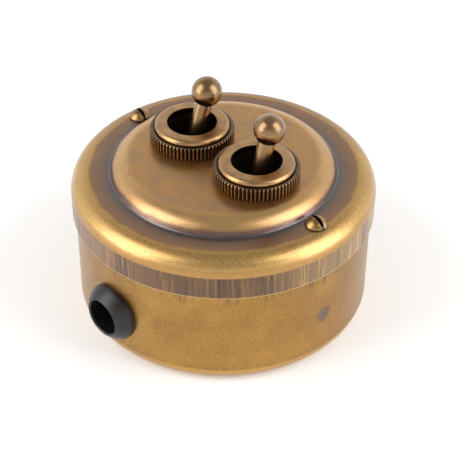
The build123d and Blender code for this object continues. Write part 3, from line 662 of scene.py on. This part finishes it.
# Dollies: the levers, each turned in one piece from brass, with a ball end, a slightly tapered neck, a round
# hub on the pivot pin, and a tail that is bored for the sprung plunger. They lean away from the cable, and
# half of each one's whole throw is its lean at rest.
throws = {joint["name"]: joint for joint in frame["joints"]}
ball_radius = 3.85 * mm
ball_height = 15.45 * mm
neck_top_radius = 2.1 * mm
neck_foot_radius = 2.3 * mm
hub_radius = 4.0 * mm
tail_radius = 3.4 * mm
tail_length = 9.5 * mm
plunger_bore_radius = 2.25 * mm
plunger_bore_depth = 6.4 * mm
pin_hole_radius = 1.56 * mm
neck_angle = -np.arccos(neck_top_radius / ball_radius)
shoulder_angle = np.arccos(neck_foot_radius / hub_radius)
tail_angle = -np.arccos(tail_radius / hub_radius)
neck_top = ball_height + ball_radius * sin(neck_angle)
neck_foot = hub_radius * sin(shoulder_angle)
neck_cuts = 24
dolly_path = np.concatenate([
    arc(1j * ball_height, ball_radius, pi / 2, neck_angle, 60),
    np.linspace(neck_top_radius + 1j * neck_top, neck_foot_radius + 1j * neck_foot, neck_cuts)[1:-1],
    arc(0, hub_radius, shoulder_angle, tail_angle, 36),
    outline([
        (tail_radius, hub_radius * sin(tail_angle) - 0.1 * mm, 0, 0.8 * mm),
        (tail_radius, -tail_length, 0.4 * mm, 0.5 * mm),
        (plunger_bore_radius, -tail_length, 0.1 * mm, 1.0 * mm),
        (plunger_bore_radius, plunger_bore_depth - tail_length, 0, 1.0 * mm),
        (0, plunger_bore_depth - tail_length, 0, 1.0 * mm),
    ]),
])
dolly_finish, nodes, place = new_finish("dolly_bronze")
grain = nodes.noise(place, 0.2 * mm, 2.0, 0.7)
clouds = nodes.noise(place, 3.5 * mm, 3.0)
specks = nodes.noise(place, 0.3 * mm, 2.0, 0.6)
colour = clouds.ease(0.35, 0.7).blend(ink(146, 106, 46), ink(120, 84, 34))
colour = (specks.ease(0.56, 0.7) * 0.45).blend(colour, dark_brown)
brass_surface(nodes, colour, 0.2 + 0.1 * grain, grain, 0.003 * mm, 0.7)
for side in ("left", "right"):
    throw = throws[f"dolly_{side}_throw"]
    tilt = np.array(Matrix.Rotation(-radians(throw["range_deg"][1] / 2), 3, "X"))
    pivot = np.array(throw["pos_m"])
    dolly = skin(f"lever_{side}", lathe(dolly_path, 128) @ tilt.T + pivot)
    across_hub = np.array((2 * hub_radius, 0, 0))
    pierce(dolly, rod(pivot - across_hub, pivot + across_hub, pin_hole_radius))
    dress(dolly, dolly_finish)
    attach(dolly, f"dolly_{side}")
    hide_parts(f"dolly_{side}")

# Bushes: the threaded brass tubes of the two switches, which the ring nuts clamp to the cover. Only their
# throats show, painted nearly black as painted shade deep in the holes.
bush_finish, nodes, place = new_finish("bush_brass")
shade_clouds = nodes.noise(place, 1.2 * mm, 3.0, 0.6)
colour = shade_clouds.ease(0.35, 0.7).blend(ink(30, 22, 16), ink(62, 46, 30))
finish_surface(nodes, {"Base Color": colour, "Metallic": 0.7, "Roughness": 0.45 + 0.2 * shade_clouds})
for name in ("bush_left", "bush_right"):
    dress(frame["nodes"][name], bush_finish)

# Brass inside the cup: the welded straps that hold the cover screws, the earthing post, the back nuts, the
# rocking contacts and the terminals with their clamp screws. It is turned and folded, and still bright.
inner_finish, nodes, place = new_finish("inner_brass")
tarnish = nodes.noise(place, 4 * mm, 3.0, 0.6)
drawn_out = nodes.node("ShaderNodeVectorMath", {"operation": "MULTIPLY"}, {0: place, 1: (1.0, 1.0, 9.0)})
tool_marks = nodes.noise(drawn_out, 1.2 * mm, 2.0)
colour = tarnish.ease(0.35, 0.7).blend(ink(220, 184, 112), ink(184, 142, 82))
inner_settings = {"Base Color": colour, "Metallic": 1.0, "Roughness": 0.2 + 0.2 * tool_marks}
finish_surface(nodes, inner_settings, tool_marks, 0.01 * mm)
inner_names = ["cover_lug_left", "cover_lug_right", "earth_terminal", "terminal_screws"]
for side in ("left", "right"):
    inner_names += [f"back_nut_{side}", f"rocker_{side}", f"near_terminal_{side}"]
    inner_names += [f"common_terminal_{side}", f"far_terminal_{side}"]
for name in inner_names:
    dress(frame["nodes"][name], inner_finish)
dress(frame["nodes"]["earth_screw"], screw_finish)

# Steel of the two switches: the pressed frame that holds the moulding, the pivot pin, the coil spring behind
# the plunger, and the washer under the back nut. It is zinc plated and has gone dull in places.
steel_finish, nodes, place = new_finish("plated_steel")
spangle = nodes.noise(place, 1.5 * mm, 4.0, 0.6)
dull = nodes.noise(place, 6 * mm, 2.0)
colour = dull.ease(0.35, 0.7).blend(ink(206, 206, 200), ink(166, 164, 156))
steel_settings = {"Base Color": colour, "Metallic": 1.0, "Roughness": 0.22 + 0.25 * spangle}
finish_surface(nodes, steel_settings, spangle, 0.008 * mm)
for side in ("left", "right"):
    for kind in ("frame", "pivot_pin", "spring", "lock_washer"):
        dress(frame["nodes"][f"{kind}_{side}"], steel_finish)

# Mouldings: the black thermoset body of each switch, held in its steel frame. It is glossy from its mould,
# with a little dust on it.
moulding_finish, nodes, place = new_finish("black_moulding")
dust = nodes.noise(place, 2 * mm, 4.0, 0.6)
swirl = nodes.noise(place, 9 * mm, 2.0)
dusty = dust.ease(0.5, 0.8)
colour = dusty.blend(ink(26, 24, 24), ink(54, 50, 48))
moulding_settings = {"Base Color": colour, "Metallic": 0.0, "Roughness": 0.16 + 0.3 * dusty}
finish_surface(nodes, moulding_settings, swirl, 0.02 * mm)
for name in ("switch_body_left", "switch_body_right"):
    dress(frame["nodes"][name], moulding_finish)

# Plungers: white nylon pins, each sliding in the bore of its dolly's tail. The spring presses it on the
# rocking contact.
nylon_finish, nodes, place = new_finish("plunger_nylon")
milky = nodes.noise(place, 1.5 * mm, 3.0)
colour = milky.ease(0.3, 0.7).blend(ink(232, 226, 208), ink(214, 204, 180))
nylon_settings = {"Base Color": colour, "Metallic": 0.0, "Roughness": 0.35 + 0.15 * milky}
finish_surface(nodes, nylon_settings, milky, 0.01 * mm)
for name in ("plunger_left", "plunger_right"):
    dress(frame["nodes"][name], nylon_finish)

# Camera: it stands where the photograph's did, in front of the wall between the cable and the right-hand
# cover screw, and looks down on the dome.
view_azimuth = radians(46.275)
view_elevation = radians(40.342)
view_distance = 366.57 * mm
view_pan = radians(0.438)
view_tilt = radians(-2.054)
view_roll = radians(-0.186)
focal_length_px = 1381.24
frame_width_px = 468
camera = bpy.data.objects.new("camera", bpy.data.cameras.new("camera"))
bpy.context.scene.collection.objects.link(camera)
camera.data.lens = camera.data.sensor_width * focal_length_px / frame_width_px
camera.data.clip_start = 0.01
stand = Matrix.Rotation(view_azimuth, 4, "Z") @ Matrix.Rotation(pi / 2 - view_elevation, 4, "X")
aim = Matrix.Rotation(-view_pan, 4, "Y") @ Matrix.Rotation(-view_tilt, 4, "X")
aim = aim @ Matrix.Rotation(-view_roll, 4, "Z")
camera.matrix_world = stand @ Matrix.Translation((0, 0, view_distance)) @ aim
bpy.context.scene.camera = camera

# Floor and light: a white table under two tall soft boxes, one on each side of the camera. The table also
# glows a little, which only the camera and reflections see, so that it looks white and lights nothing.
floor_size = 3.0
floor_mesh = bpy.data.meshes.new("floor")
half = floor_size / 2
floor_corners = [(-half, -half, 0), (half, -half, 0), (half, half, 0), (-half, half, 0)]
floor_mesh.from_pydata(floor_corners, [], [(0, 1, 2, 3)])
floor = bpy.data.objects.new("floor", floor_mesh)
bpy.context.scene.collection.objects.link(floor)
floor_finish, nodes, place = new_finish("white_table")
# Outputs 0, 3 and 6 tell camera, glossy and transmission rays.
seen = nodes.node("ShaderNodeLightPath", output=0)
seen = seen + nodes.node("ShaderNodeLightPath", output=3) + nodes.node("ShaderNodeLightPath", output=6)
floor_glow = 0.17
surface_settings = {
    "Base Color": (0.88, 0.875, 0.87, 1.0),
    "Roughness": 0.9,
    "Specular IOR Level": 0.1,
    "Emission Color": (1, 1, 1, 1),
    "Emission Strength": seen.maths("MINIMUM", seen, 1.0) * floor_glow,
}
finish_surface(nodes, surface_settings)
floor.data.materials.append(floor_finish)

box_azimuth = radians(72)
box_elevation = radians(33)
box_distance = 0.55
box_size = (0.36, 0.58)
box_power = 1.9
for name, sign in (("left_softbox", -1), ("right_softbox", 1)):
    lamp = bpy.data.objects.new(name, bpy.data.lights.new(name, "AREA"))
    lamp.data.shape = "RECTANGLE"
    lamp.data.size, lamp.data.size_y = box_size
    lamp.data.energy = box_power
    bpy.context.scene.collection.objects.link(lamp)
    turn = Matrix.Rotation(view_azimuth + sign * box_azimuth, 4, "Z")
    lean = Matrix.Rotation(pi / 2 - box_elevation, 4, "X")
    lamp.matrix_world = turn @ lean @ Matrix.Translation((0, 0, box_distance))

# The room is white all round near the table, darker overhead, and dark on the side that the camera stands on.
world = bpy.data.worlds.new("studio")
bpy.context.scene.world = world
world.use_nodes = True
world.node_tree.nodes.clear()
nodes = Shade(world.node_tree)
direction = nodes.node("ShaderNodeTexCoord", output=0)
x, y, z = xyz(nodes, direction)
frontward = x * sin(view_azimuth) - y * cos(view_azimuth)
overhead = z.ease(0.45, 0.9)
dim = overhead.maths("MAXIMUM", overhead, frontward.ease(-0.2, 0.5) * z.ease(0.3, 0.6))
room = dim.blend((1, 1, 1, 1), (0.42, 0.42, 0.42, 1))
background = nodes.node("ShaderNodeBackground", {}, {"Color": room, "Strength": 1.0})
nodes.node("ShaderNodeOutputWorld", {}, {"Surface": background}, None)

bpy.context.scene.view_settings.view_transform = "Standard"
